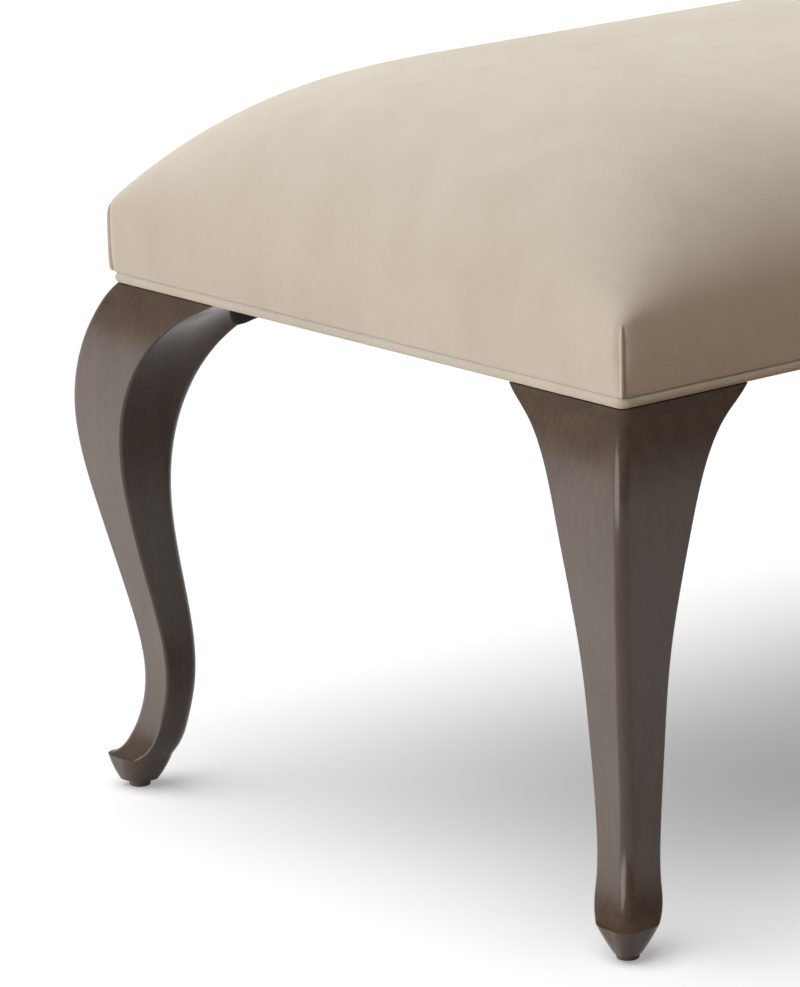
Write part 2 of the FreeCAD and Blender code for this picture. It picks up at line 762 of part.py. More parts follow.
doc.recompute()
for thing in doc.Objects:
    if "Invalid" in thing.State or "Error" in thing.State:
        raise RuntimeError(f"{thing.Name} failed to build")
for thing in NODES:
    if thing.Shape.isNull() or not thing.Shape.isValid() or not thing.Shape.Solids:
        raise RuntimeError(f"{thing.Label} has no valid solid")
os.makedirs("parts", exist_ok=True)
for thing in NODES:
    thing.Shape.exportStep(f"parts/{thing.Label}.step")
print(len(NODES), "sub-parts written")
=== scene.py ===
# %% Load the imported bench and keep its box
import bmesh
import bpy
import math
from mathutils import Matrix, Vector, noise


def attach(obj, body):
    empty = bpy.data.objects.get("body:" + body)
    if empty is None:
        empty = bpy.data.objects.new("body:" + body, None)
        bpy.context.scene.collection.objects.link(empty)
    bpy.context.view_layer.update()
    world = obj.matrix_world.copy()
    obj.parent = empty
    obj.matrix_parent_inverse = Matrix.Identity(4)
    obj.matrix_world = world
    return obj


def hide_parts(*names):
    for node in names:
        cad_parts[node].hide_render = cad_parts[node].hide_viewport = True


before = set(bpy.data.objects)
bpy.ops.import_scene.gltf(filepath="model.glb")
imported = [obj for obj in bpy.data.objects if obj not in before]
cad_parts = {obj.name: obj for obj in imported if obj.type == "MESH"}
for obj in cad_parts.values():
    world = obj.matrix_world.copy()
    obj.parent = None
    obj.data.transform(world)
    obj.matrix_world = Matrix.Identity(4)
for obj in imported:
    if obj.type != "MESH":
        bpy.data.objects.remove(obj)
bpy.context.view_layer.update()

# %% [markdown]
# The bench is a crowned velvet seat on four cabriole legs. X runs along it, Y from front to back and Z up,
# in metres, with the origin on the floor under its middle. The wooden and metal pieces are already right in
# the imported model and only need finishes. Everything soft is made here: cloth has folds, sag and seams that
# a solid can't show. First come the sizes that several soft pieces share, the same as in the part's source.

# %% Sizes that the soft pieces share
SEAT_LENGTH = 1.2
SEAT_WIDTH = 0.5
LEG_HEIGHT = 0.345
SIDE_HEIGHT = 0.052
CROWN_RISE = 0.103
END_RUN = 0.22
END_FULLNESS = 3.3
SIDE_FULLNESS = 2.6
SIDE_BULGE = 0.0017
COVER_THICKNESS = 0.0012
PIPING_RADIUS = 0.0035
PIPING_TOP = 0.3524
SIDE_TOP = LEG_HEIGHT + SIDE_HEIGHT
print("crown at", SIDE_TOP + CROWN_RISE)

# %% [markdown]
# The camera stands in front of the left end, a little above the seat, and looks through a long lens. Three
# angles could turn it, but a matrix made from the viewing direction, the side direction and a slight roll
# places it in one step and is easier to read.

# %% Camera
CAMERA_PLACE = Vector((-2.87517, -2.77108, 1.17916))
CAMERA_AZIMUTH = math.radians(39.825)
CAMERA_DROP = math.radians(14.563)
CAMERA_ROLL = math.radians(-1.099)
SENSOR = 36
IMAGE_LONG_SIDE = 987
FOCAL_PIXELS = 5886.72


def camera_matrix():
    """Place and turn of the camera, which looks along its own -Z with +Y up."""
    level = math.cos(CAMERA_DROP)
    ahead = Vector((math.sin(CAMERA_AZIMUTH) * level, math.cos(CAMERA_AZIMUTH) * level,
                    -math.sin(CAMERA_DROP)))
    side = Vector((math.cos(CAMERA_AZIMUTH), -math.sin(CAMERA_AZIMUTH), 0))
    turn = Matrix((side, side.cross(ahead), -ahead)).transposed()
    roll = Matrix.Rotation(CAMERA_ROLL, 3, "Z")
    return Matrix.LocRotScale(CAMERA_PLACE, turn @ roll, None)


camera = bpy.data.objects.new("camera", bpy.data.cameras.new("camera"))
camera.data.sensor_width = SENSOR
camera.data.lens = FOCAL_PIXELS / IMAGE_LONG_SIDE * SENSOR
camera.data.clip_end = 100
camera.matrix_world = camera_matrix()
bpy.context.scene.collection.objects.link(camera)
bpy.context.scene.camera = camera
print("lens:", round(camera.data.lens, 1), "mm")

# %% [markdown]
# A finish is a node graph that ends in one Principled shader. Written as nodes and links, even a simple
# formula takes a page, so a small class wraps a socket and gives it arithmetic: an expression such as
# 1 - mask * 0.4 adds its own Math nodes. Every other node comes from one method.

# %% Graph helper for the finishes
class Value:
    """A socket of a graph. Arithmetic on it adds Math nodes."""

    def __init__(self, graph, socket):
        self.graph = graph
        self.socket = socket

    def __add__(self, other):
        return self.graph.math("ADD", self, other)

    def __sub__(self, other):
        return self.graph.math("SUBTRACT", self, other)

    def __rsub__(self, other):
        return self.graph.math("SUBTRACT", other, self)

    def __mul__(self, other):
        return self.graph.math("MULTIPLY", self, other)

    __radd__ = __add__
    __rmul__ = __mul__


class Graph:
    """A node tree that grows by one method."""

    def __init__(self, owner):
        owner.use_nodes = True
        self.tree = owner.node_tree

    def feed(self, socket, content):
        if isinstance(content, Value):
            self.tree.links.new(content.socket, socket)
        elif isinstance(content, tuple) and len(content) == 3 and len(socket.default_value) == 4:
            socket.default_value = (*content, 1)
        else:
            socket.default_value = content

    def node(self, kind, inputs, output=0, stops=(), **settings):
        made = self.tree.nodes.new("ShaderNode" + kind)
        for name, content in settings.items():
            setattr(made, name, content)
        for place, stop in enumerate(stops):
            element = made.color_ramp.elements[place]
            element.position = stop[0]
            element.color = (stop[1], stop[1], stop[1], 1)
        for name, content in inputs.items():
            self.feed(made.inputs[name], content)
        return Value(self, made.outputs[output])

    def math(self, operation, first, second):
        return self.node("Math", {0: first, 1: second}, operation=operation)

    def mix(self, factor, first, second):
        return self.node("Mix", {0: factor, 6: first, 7: second}, 2, data_type="RGBA")

    def seen(self):
        """1 for rays that see the studio, straight, mirrored or through glass, and 0 for its light."""
        kinds = ("Is Camera Ray", "Is Glossy Ray", "Is Transmission Ray")
        straight, reflected, through = (self.node("LightPath", {}, kind) for kind in kinds)
        return self.math("MINIMUM", straight + reflected + through, 1)


class Finish(Graph):
    """A procedural material with one Principled shader."""

    def __init__(self, name, **constants):
        self.material = bpy.data.materials.new(name)
        super().__init__(self.material)
        self.shader = self.tree.nodes["Principled BSDF"]
        for socket, content in constants.items():
            self.feed(self.shader.inputs[socket.replace("_", " ")], content)

    def place(self, scale=(1, 1, 1), location=(0, 0, 0)):
        """Object coordinates, stretched and shifted."""
        coordinates = self.node("TexCoord", {}, "Object")
        return self.node("Mapping", {"Vector": coordinates, "Scale": scale, "Location": location})

    def noise(self, scale, detail=2, vector=None, **inputs):
        spot = vector or self.place()
        return self.node("TexNoise", {"Vector": spot, "Scale": scale, "Detail": detail, **inputs}, "Fac")

    def ramp(self, factor, *stops):
        return self.node("ValToRGB", {"Fac": factor}, stops=stops)

    def finish(self, colour, roughness, height=None, distance=0.001, strength=1.0):
        self.feed(self.shader.inputs["Base Color"], colour)
        self.feed(self.shader.inputs["Roughness"], roughness)
        if height is not None:
            bump = self.node("Bump", {"Height": height, "Distance": distance, "Strength": strength})
            self.feed(self.shader.inputs["Normal"], bump)
        return self.material


def srgb(red, green, blue):
    """Linear colour of an sRGB triple from 0 to 255."""
    def straight(level):
        share = level / 255
        return share / 12.92 if share <= 0.04045 else ((share + 0.055) / 1.055) ** 2.4
    return tuple(straight(level) for level in (red, green, blue))


print("finish helper ready")

# %% [markdown]
# Velvet is a cut pile. Seen close, it is a field of tiny tufts. Seen from afar, the pile leans a little this
# way and that, which gives soft cloudy shading, and it glows where the eye grazes it. Strands of hair could
# show the pile, but far too many would be needed. Here a fine noise bump makes the tufts, two wide noises
# shift the colour and roughness, and the shader's own sheen gives the glow.

# %% Velvet
TUFT_FINENESS = 1500


def velvet_finish():
    """Champagne velvet: a soft pile with cloudy shading."""
    velvet = Finish("velvet", Sheen_Weight=0.6, Sheen_Roughness=0.4, Sheen_Tint=srgb(255, 253, 246),
                    Diffuse_Roughness=1.0, Specular_IOR_Level=0.02)
    clouds = velvet.noise(6, 3, Roughness=0.55)
    strokes = velvet.noise(38, 2, velvet.place(scale=(1, 1, 0.35)))
    tufts = velvet.noise(TUFT_FINENESS, 2)
    lean = clouds * 0.4 + strokes * 0.2 + tufts * 0.4
    colour = velvet.mix(velvet.ramp(lean, (0.36, 0), (0.64, 1)), srgb(192, 183, 168), srgb(205, 198, 185))
    return velvet.finish(colour, 0.86 + 0.12 * lean, tufts, 0.0006, 0.8)


velvet = velvet_finish()
print("made", velvet.name)

# %% [markdown]
# The legs are solid wood, stained dark and rubbed to a satin lacquer. The grain runs up the leg because a
# leg needs its strength there, so a noise is stretched along Z. A ring pattern round an upright axis gives
# long pointed figures where the knee cuts across the rings, as in real timber. The stain hides most of it,
# so both stay faint, and a thin coat gives the soft reflection. The inner curves, out of sight under the
# seat, are left as the rasp made them, so they are rougher.

# %% Stained wood of the legs
INNER_X = ((0.55, 1), (0.585, 0))
INNER_Y = ((0.2, 1), (0.235, 0))


def stained_wood_finish():
    """Dark taupe stain over close grain, with a satin lacquer."""
    wood = Finish("stained_wood", Specular_IOR_Level=0.4, Coat_Roughness=0.2)
    fibres = wood.noise(260, 4, wood.place(scale=(1, 1, 0.035)), Roughness=0.6)
    wander = wood.noise(7, 2, wood.place(scale=(1, 1, 0.3)))
    ring_inputs = {"Vector": wood.place(location=(0.03, 0.04, 0)), "Scale": 17, "Distortion": 3.0,
                   "Detail": 2, "Detail Scale": 1.4}
    rings = wood.node("TexWave", ring_inputs, "Fac", wave_type="RINGS", rings_direction="Z")
    pores = wood.ramp(wood.noise(900, 2, wood.place(scale=(1, 1, 0.05))), (0.34, 0), (0.42, 1))
    tone = rings * 0.1 + fibres * 0.6 + wander * 0.3
    stain = wood.mix(wood.ramp(tone, (0.25, 0), (0.75, 1)), srgb(63, 50, 40), srgb(83, 69, 57))
    colour = wood.mix(pores * 0.25 + 0.75, srgb(46, 36, 30), stain)
    wood.feed(wood.shader.inputs["Coat Weight"], 0.02 + 0.06 * wander)
    reach_x, reach_y = (wood.math("ABSOLUTE", wood.node("SeparateXYZ", {0: wood.place()}, axis), 0)
                        for axis in ("X", "Y"))
    inner = wood.ramp(reach_x, *INNER_X) * wood.ramp(reach_y, *INNER_Y)
    return wood.finish(colour, 0.17 + 0.1 * fibres + 0.5 * inner, fibres * 0.6 + pores * 0.4, 0.0002, 0.25)


stained_wood = stained_wood_finish()
LEG_CORNERS = ("front_left", "front_right", "back_right", "back_left")


def dress(node_names, material):
    """Give CAD nodes a finish."""
    for name in node_names:
        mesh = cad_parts[name].data
        mesh.materials.clear()
        mesh.materials.append(material)


dress([f"{corner}_leg" for corner in LEG_CORNERS], stained_wood)
print("dressed", len(LEG_CORNERS), "legs")

# %% [markdown]
# Hidden in the seat are plain softwood rails, blocks and dowels, and zinc-plated bolts, washers, nuts and
# screws. They are seen only when the bench is taken apart, and still get honest finishes: pale wood with
# growth rings, and metal with the cloudy crystals of plating.

# %% Frame wood, zinc steel and the plastic of the glides
def frame_wood_finish():
    """Pale sawn softwood with soft growth bands."""
    pine = Finish("frame_wood")
    bands = pine.node("TexWave", {"Vector": pine.place(scale=(0.15, 1, 1)), "Scale": 60, "Distortion": 5,
                                  "Detail": 2}, "Fac", bands_direction="Y")
    fuzz = pine.noise(700, 3, pine.place(scale=(0.1, 1, 1)))
    colour = pine.mix(bands * 0.6 + fuzz * 0.4, srgb(222, 192, 146), srgb(196, 158, 108))
    return pine.finish(colour, 0.6 + 0.2 * fuzz, fuzz, 0.0003, 0.4)


def zinc_steel_finish():
    """Zinc plating: bright metal with cloudy crystals."""
    zinc = Finish("zinc_steel", Metallic=1.0)
    crystals = zinc.node("TexVoronoi", {"Vector": zinc.place(), "Scale": 900}, "Distance")
    clouds = zinc.noise(220, 3)
    colour = zinc.mix(clouds * 0.7 + crystals * 0.3, srgb(186, 190, 194), srgb(214, 214, 210))
    return zinc.finish(colour, 0.28 + 0.2 * clouds, crystals, 0.0001, 0.2)


def glide_plastic_finish():
    """Dark moulded plastic with a fine spark-eroded grain and scuffs."""
    plastic = Finish("glide_plastic")
    grain = plastic.noise(2600, 2)
    scuffs = plastic.noise(320, 4, plastic.place(scale=(1, 1, 3)))
    colour = plastic.mix(plastic.ramp(scuffs, (0.4, 0), (0.75, 1)), srgb(52, 43, 37), srgb(74, 64, 56))
    return plastic.finish(colour, 0.42 + 0.2 * scuffs, grain, 0.0001, 0.3)


frame_wood = frame_wood_finish()
dress(["front_rail", "back_rail", "left_rail", "right_rail", "centre_brace", "rail_dowels"], frame_wood)
dress([f"{corner}_block" for corner in LEG_CORNERS], frame_wood)
zinc_steel = zinc_steel_finish()
dress(["hanger_bolts", "bolt_washers", "bolt_nuts", "block_screws", "glide_nails"], zinc_steel)
dress([f"{corner}_glide" for corner in LEG_CORNERS], glide_plastic_finish())
print("dressed the frame, the fasteners and the glides")

# %% [markdown]
# The velvet cover is one cloth with a sewn dart at each corner, pulled over a crown of foam. Two curves
# multiplied give the crown: how fast it rises from an end and from a side. The blank is a grid whose cells
# crowd towards the edges, where the cloth turns over, and its rim is extruded down to make the sides.

# %% Crowned blank
DRAW_TOP = 0.0006
BELLY_CURVE = 0.006
BELLY_PUSH = 0.0042
CORNER_ROUND = 0.009
CROWDING = 1.9


def crowd(share):
    """Move a grid line, at -1 to 1, towards the nearer edge."""
    return math.copysign(1 - (1 - abs(share)) ** CROWDING, share)


def crown(reach_x, reach_y, half_wide):
    """Share of the crown's height that is reached a distance in from an end and from a side."""
    run = min(reach_x / END_RUN, 1)
    along = math.sqrt(max(1 - (1 - run) ** END_FULLNESS, 0))
    across = math.sqrt(max(1 - (1 - reach_y / half_wide) ** SIDE_FULLNESS, 0))
    return along * across


def belly(share):
    """How far a side stands inside its widest plane, from its brim at 0 to its seam at 1."""
    return BELLY_CURVE * share ** 2 - BELLY_PUSH * share + DRAW_TOP


def plan_inside(inset):
    """Half length and half width of the seat's widest plan, less an inset."""
    return Vector((SEAT_LENGTH / 2 + SIDE_BULGE - inset, SEAT_WIDTH / 2 + SIDE_BULGE - inset))


def whole(form):
    """All points, edges and faces of a bmesh."""
    return [*form.verts, *form.edges, *form.faces]


def open_edges(form):
    """The edges that have a face on one side only."""
    return [edge for edge in form.edges if edge.is_boundary]


def extrude(form, edges):
    """Extrude open edges without moving them. Gives the new points and the new open edges."""
    made = bmesh.ops.extrude_edge_only(form, edges=edges)["geom"]
    points = [part for part in made if isinstance(part, bmesh.types.BMVert)]
    fresh = set(points)
    new_edges = [part for part in made if isinstance(part, bmesh.types.BMEdge)]
    return points, [edge for edge in new_edges if fresh.issuperset(edge.verts)]


def extrude_rim(form, rim, plan, new_plan, height):
    """Extrude an open rim to a new plan and height. Gives the new rim and its plan."""
    points, new_rim = extrude(form, rim)
    for point in points:
        point.co = Vector((point.co.x * new_plan.x / plan.x, point.co.y * new_plan.y / plan.y, height))
    return new_rim, new_plan


def crowned_blank(inset, base, cells_long, cells_wide, side_rows, rise=CROWN_RISE):
    """Top and sides of the seat, square at the corners and shrunk by inset, with the open rim and its plan."""
    widest = plan_inside(inset)
    side_top = SIDE_TOP - inset
    form = bmesh.new()
    bmesh.ops.create_grid(form, x_segments=cells_long, y_segments=cells_wide, size=1)
    plan = plan_inside(inset + DRAW_TOP)
    for point in form.verts:
        across, along = crowd(point.co.y), crowd(point.co.x)
        share = crown(widest.x * (1 - abs(along)), widest.y * (1 - abs(across)), widest.y)
        point.co = Vector((plan.x * along, plan.y * across, side_top + rise * share))
    rim = open_edges(form)
    for row in range(1, side_rows + 1):
        share = row / side_rows
        height = side_top + (base - side_top) * share
        rim, plan = extrude_rim(form, rim, plan, plan_inside(inset + belly(share)), height)
    return form, rim, plan


def round_corners(form):
    """Bend the upright corners round, by the map that turns a square's corner into an arc."""
    square = plan_inside(CORNER_ROUND)
    for point in form.verts:
        a = (abs(point.co.x) - square.x) / CORNER_ROUND
        b = (abs(point.co.y) - square.y) / CORNER_ROUND
        if a > 0 and b > 0:
            point.co.x = math.copysign(square.x + CORNER_ROUND * a * math.sqrt(1 - b * b / 2), point.co.x)
            point.co.y = math.copysign(square.y + CORNER_ROUND * b * math.sqrt(1 - a * a / 2), point.co.y)


def piece(name, form, material, smooth=True):
    """Mesh object made from a bmesh, at the origin, that moves with the bench."""
    bmesh.ops.recalc_face_normals(form, faces=form.faces)
    mesh = bpy.data.meshes.new(name)
    form.to_mesh(mesh)
    form.free()
    mesh.materials.append(material)
    mesh.polygons.foreach_set("use_smooth", [smooth] * len(mesh.polygons))
    made = bpy.data.objects.new(name, mesh)
    bpy.context.scene.collection.objects.link(made)
    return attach(made, "root")


print("crowned blank ready")

# %% [markdown]
# Foam pushes the cloth out as air fills a tent, so the blank starts a little small and Blender's Cloth
# swells it under pressure. The seam above the piping and the corner darts hold the cloth: those points are
# pinned. A cap on the movement keeps the seat at its real size. The simulated points are then kept as the
# mesh and the modifier is taken off, so nothing has to be simulated again later.

# %% Velvet cover, swollen by simulation
SWELL_ROOM = 0.001
SWELL_CAP = 0.0024
PRESSURE = 4
CLOTH_STIFFNESS = 2000
BEND_STIFFNESS = 200
LAST_FRAME = 20
PIN_REACH = 0.05


def pin_weight(place):
    """1 on the bottom seam and at the corner darts, falling to 0 on the free cloth."""
    widest = plan_inside(0)
    to_corner = math.hypot(widest.x - abs(place.x), widest.y - abs(place.y))
    from_corner = max(1 - to_corner / PIN_REACH, 0)
    from_seam = max(1 - (place.z - PIPING_TOP) / (PIN_REACH / 2), 0)
    return min(2 * max(from_corner, from_seam), 1)


def swell(cover):
    """Swell a cover by cloth simulation, cap its movement and keep the result as its mesh."""
    start = [point.co.copy() for point in cover.data.vertices]
    held = cover.vertex_groups.new(name="held")
    for number, place in enumerate(start):
        held.add([number], pin_weight(place), "REPLACE")
    cloth = cover.modifiers.new("swell", "CLOTH")
    cloth.settings.quality = 6
    cloth.settings.use_pressure = True
    cloth.settings.uniform_pressure_force = PRESSURE
    cloth.settings.effector_weights.gravity = 0
    cloth.settings.vertex_group_mass = "held"
    cloth.settings.tension_stiffness = CLOTH_STIFFNESS
    cloth.settings.compression_stiffness = CLOTH_STIFFNESS
    cloth.settings.shear_stiffness = CLOTH_STIFFNESS / 3
    cloth.settings.bending_stiffness = BEND_STIFFNESS
    cloth.point_cache.frame_end = LAST_FRAME
    for number in range(1, LAST_FRAME + 1):
        bpy.context.scene.frame_set(number)
    swollen = cover.evaluated_get(bpy.context.evaluated_depsgraph_get()).data
    moves = [after.co - before for after, before in zip(swollen.vertices, start)]
    longest = max(move.length for move in moves)
    for point, before, move in zip(cover.data.vertices, start, moves):
        point.co = before + move * (min(move.length, SWELL_CAP) / max(move.length, 1e-9))
    cover.modifiers.remove(cloth)
    cover.vertex_groups.remove(held)
    bpy.context.scene.frame_set(1)
    return longest


blank, _, seam_plan = crowned_blank(0, PIPING_TOP, cells_long=120, cells_wide=56, side_rows=7,
                                    rise=CROWN_RISE - SWELL_ROOM)
round_corners(blank)
cover = piece("velvet_cover", blank, velvet)
print("cloth moved up to", round(swell(cover) * 1000, 2), "mm before the cap")

# %% [markdown]
# Below its side the cloth turns into the seam, runs behind the piping and folds under the frame as a hem,
# where staples hold it. Each turn is one more extrusion of the rim, to a plan a little smaller than the
# piping's outer planes: the steps below give how far inside the seat's plan it lies, and how high.
# Subdivision then rounds the turns, and Solidify gives the cloth its thickness.

# %% Seam, hem and thickness of the cover
HEM_STEPS = ((0.0014, 0.35205), (0.0032, 0.3523), (0.0070, 0.3524), (0.0072, 0.3520),
             (0.0072, 0.3455), (0.0077, 0.3450), (0.0266, 0.3450))


def add_hem(cover, plan):
    """Extrude the cover's lower rim along the turns of its hem."""
    form = bmesh.new()
    form.from_mesh(cover.data)
    rim = open_edges(form)
    for inset, height in HEM_STEPS:
        rim, plan = extrude_rim(form, rim, plan, plan_inside(SIDE_BULGE + inset), height)
    bmesh.ops.recalc_face_normals(form, faces=form.faces)
    form.to_mesh(cover.data)
    form.free()
    cover.data.polygons.foreach_set("use_smooth", [True] * len(cover.data.polygons))


def subdivide(thing, levels=1):
    """Live subdivision, the same in the view and the render."""
    smoother = thing.modifiers.new("subdivide", "SUBSURF")
    smoother.levels = smoother.render_levels = levels


def thicken(thing, thickness, offset=-1):
    """Live thickness, inward from the modelled face by default."""
    wall = thing.modifiers.new("thickness", "SOLIDIFY")
    wall.thickness = thickness
    wall.offset = offset


add_hem(cover, seam_plan)
subdivide(cover)
thicken(cover, COVER_THICKNESS)
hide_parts("seat_cover")
print("cover faces:", len(cover.data.polygons))

# %% [markdown]
# At each corner the cloth is sewn into an upright dart, and its allowance shows as a thin raised fold. The
# fold is a ring extruded upwards along the rounded corner and drawn to a point where the dart runs out.

# %% Corner darts
DART_WIDTH = 0.0014
DART_DEPTH = 0.0026
DART_BASE = PIPING_TOP + 0.0002
DART_TOP = SIDE_TOP + 0.001
DART_STEPS = 10
TAPER_START = 0.8
TIP_SHARE = 0.1


def corner_place(height):
    """Point in the middle of a rounded corner at a height on the cover's side."""
    share = min((SIDE_TOP - height) / (SIDE_TOP - PIPING_TOP), 1)
    square = plan_inside(CORNER_ROUND)
    a = 1 - belly(max(share, 0)) / CORNER_ROUND
    out = CORNER_ROUND * a * math.sqrt(1 - a * a / 2)
    return Vector((square.x + out, square.y + out, height))


def dart_fold(form):
    """One raised fold at the corner of positive X and Y."""
    ring = bmesh.ops.create_circle(form, segments=8, radius=1)["verts"]
    across = Vector((-1, 1, 0)).normalized()
    outward = Vector((1, 1, 0)).normalized()
    shape = []
    for point in ring:
        shape.append((point, point.co.x * DART_WIDTH * across + point.co.y * DART_DEPTH * outward))
    for point, offset in shape:
        point.co = corner_place(DART_BASE) + offset
    loop = form.edges[:]
    for step in range(1, DART_STEPS + 1):
        share = step / DART_STEPS
        past = max(share - TAPER_START, 0) / (1 - TAPER_START)
        taper = max(math.sqrt(max(1 - past ** 2, 0)), TIP_SHARE)
        centre = corner_place(DART_BASE + (DART_TOP - DART_BASE) * share)
        offsets = {point.co.copy().freeze(): offset for point, offset in shape}
        points, loop = extrude(form, loop)
        shape = [(point, offsets[point.co.copy().freeze()]) for point in points]
        for point, offset in shape:
            point.co = centre + offset * taper
    bmesh.ops.holes_fill(form, edges=open_edges(form), sides=0)


darts = bmesh.new()
dart_fold(darts)
for axis in ("X", "Y"):
    bmesh.ops.mirror(darts, geom=whole(darts), axis=axis, merge_dist=0)
dart_folds = piece("corner_darts", darts, velvet)
subdivide(dart_folds)
print("dart faces:", len(dart_folds.data.polygons))

# %% [markdown]
# A welt of the same velvet, cut on the bias and wrapped round a cord, is sewn into the bottom seam. A ring
# of points is pushed along each straight side and spun round each corner until it meets itself, and a fine
# ripple keeps it from looking like a metal rod.

# %% Welt piping
WELT_CORNER_OUTSIDE = 0.0075
WELT_CORNER = WELT_CORNER_OUTSIDE - PIPING_RADIUS
WELT_LIFT = 0.0002
WELT_HEIGHT = LEG_HEIGHT + WELT_LIFT + PIPING_RADIUS
STEP_LENGTH = 0.012
RIPPLE_HEIGHT = 0.00012
RIPPLE_FINENESS = 55


def push_ring(form, ring, way, length):
    """Extrude a ring of edges in even steps. Gives the last ring."""
    steps = max(round(length / STEP_LENGTH), 1)
    for step in range(steps):
        points, ring = extrude(form, ring)
        bmesh.ops.translate(form, verts=points, vec=way * (length / steps))
    return ring


def spin_ring(form, ring, centre):
    """Spin a ring of edges a quarter turn about an upright axis. Gives the last ring."""
    turned = bmesh.ops.spin(form, geom=ring, cent=centre, axis=(0, 0, 1), angle=math.pi / 2, steps=6)
    return [part for part in turned["geom_last"] if isinstance(part, bmesh.types.BMEdge)]


welt = bmesh.new()
welt_half = Vector((SEAT_LENGTH / 2 - PIPING_RADIUS, SEAT_WIDTH / 2 - PIPING_RADIUS))
run = welt_half - Vector((WELT_CORNER, WELT_CORNER))
upright = Matrix.Rotation(math.pi / 2, 4, "Y")
start = Matrix.Translation((-run.x, -welt_half.y, WELT_HEIGHT)) @ upright
bmesh.ops.create_circle(welt, segments=14, radius=PIPING_RADIUS, matrix=start)
ring = welt.edges[:]
for way, length, centre in (((1, 0, 0), run.x, (1, -1)), ((0, 1, 0), run.y, (1, 1)),
                            ((-1, 0, 0), run.x, (-1, 1)), ((0, -1, 0), run.y, (-1, -1))):
    ring = push_ring(welt, ring, Vector(way), 2 * length)
    ring = spin_ring(welt, ring, (run.x * centre[0], run.y * centre[1], WELT_HEIGHT))
bmesh.ops.remove_doubles(welt, verts=welt.verts, dist=0.0001)
for point in welt.verts:
    point.co.z += RIPPLE_HEIGHT * noise.noise(point.co * RIPPLE_FINENESS)
piping = piece("velvet_welt", welt, velvet)
subdivide(piping)
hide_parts("welt_piping")
print("welt faces:", len(piping.data.polygons))

# %% [markdown]
# Under the frame a thin black non-woven cloth keeps dust in. It is cut with a notch for each leg and stapled
# along its edges, it sags between the rails, and round each leg a little of it is turned down against the
# wood. It could be simulated, but its shape is simple: a grid is bisected along the notch lines, the corner
# faces are deleted, and every point drops by a smooth sag with shallow scallops between the staples. The
# turned-down flaps are extruded from the notches and crumpled by a noise vector. That noise starts from a
# seed, which is set here so that every run folds the flaps alike.

# %% Dust cover
DUST_MARGIN = 0.014
LEG_TOP_ROOM = 0.107
DUST_HALF = Vector((SEAT_LENGTH / 2 - DUST_MARGIN, SEAT_WIDTH / 2 - DUST_MARGIN))
DUST_NOTCH = Vector((SEAT_LENGTH / 2 - LEG_TOP_ROOM, SEAT_WIDTH / 2 - LEG_TOP_ROOM))
DUST_HEIGHT = LEG_HEIGHT - 0.0003
DUST_THICKNESS = 0.0005
DUST_SAG = 0.005
SAG_RUN = 0.06
SCALLOP_DROP = 0.0007
STAPLE_PITCH = 0.045
EDGE_REACH = 0.03
WRINKLE_HEIGHT = 0.0004
WRINKLE_FINENESS = 18
FLAP_DROP = 0.013
FLAP_ROWS = 2
FLAP_LEAN = 0.0007
CRUMPLE_FINENESS = 90
CRUMPLE_SHARE = 0.6
CRUMPLE_SEED = 1
TOUCHING = 0.0001


def dust_cloth_finish():
    """Black spun cloth, pressed with a grid of tiny bonding points."""
    cloth = Finish("dust_cloth", Sheen_Weight=0.2)
    waves = {"Vector": cloth.place(), "Scale": 130}
    dots = (cloth.node("TexWave", waves, "Fac", bands_direction="X")
            * cloth.node("TexWave", waves, "Fac", bands_direction="Y"))
    fibres = cloth.noise(900, 4, Roughness=0.7)
    colour = cloth.mix(fibres * 0.7 + dots * 0.3, srgb(26, 25, 27), srgb(50, 48, 49))
    return cloth.finish(colour, 0.8 + 0.15 * fibres, fibres * 0.5 - dots * 0.5, 0.0003, 0.5)


def dust_drop(place):
    """How far the dust cover hangs below the frame at a place on its plan."""
    inside = Vector((DUST_HALF.x - abs(place.x), DUST_HALF.y - abs(place.y)))
    to_notch = math.hypot(max(DUST_NOTCH.x - abs(place.x), 0), max(DUST_NOTCH.y - abs(place.y), 0))
    to_edge = min(inside.x, inside.y, to_notch)
    hang = DUST_SAG * (1 - math.exp(-max(to_edge - EDGE_REACH / 2, 0) / SAG_RUN))
    along = place.x if inside.y < inside.x else place.y
    scallop = math.sin(math.pi * along / STAPLE_PITCH) ** 2 * math.exp(-(to_edge / EDGE_REACH) ** 2)
    wrinkle = noise.noise(place * WRINKLE_FINENESS) * min(to_edge / EDGE_REACH, 1)
    return hang + SCALLOP_DROP * scallop + WRINKLE_HEIGHT * wrinkle


def on_notch(place):
    """Whether a place on the cloth's plan lies on the edge of a notch."""
    past_x, past_y = abs(place.x) - DUST_NOTCH.x, abs(place.y) - DUST_NOTCH.y
    return min(past_x, past_y) > -TOUCHING and min(abs(past_x), abs(past_y)) < TOUCHING


def turn_down_flaps(form):
    """Turn the cloth down along the notches, where it is tucked against the legs, and crumple it."""
    edges = [edge for edge in open_edges(form) if all(on_notch(point.co) for point in edge.verts)]
    for row in range(FLAP_ROWS):
        points, edges = extrude(form, edges)
        for point in points:
            crumple = noise.noise_vector(point.co * CRUMPLE_FINENESS)
            inward = Vector((-math.copysign(1, point.co.x), -math.copysign(1, point.co.y), 0)) * FLAP_LEAN
            drop = FLAP_DROP / FLAP_ROWS * (1 + CRUMPLE_SHARE * crumple.z)
            point.co += inward * (1 + crumple.x) - Vector((0, 0, drop))


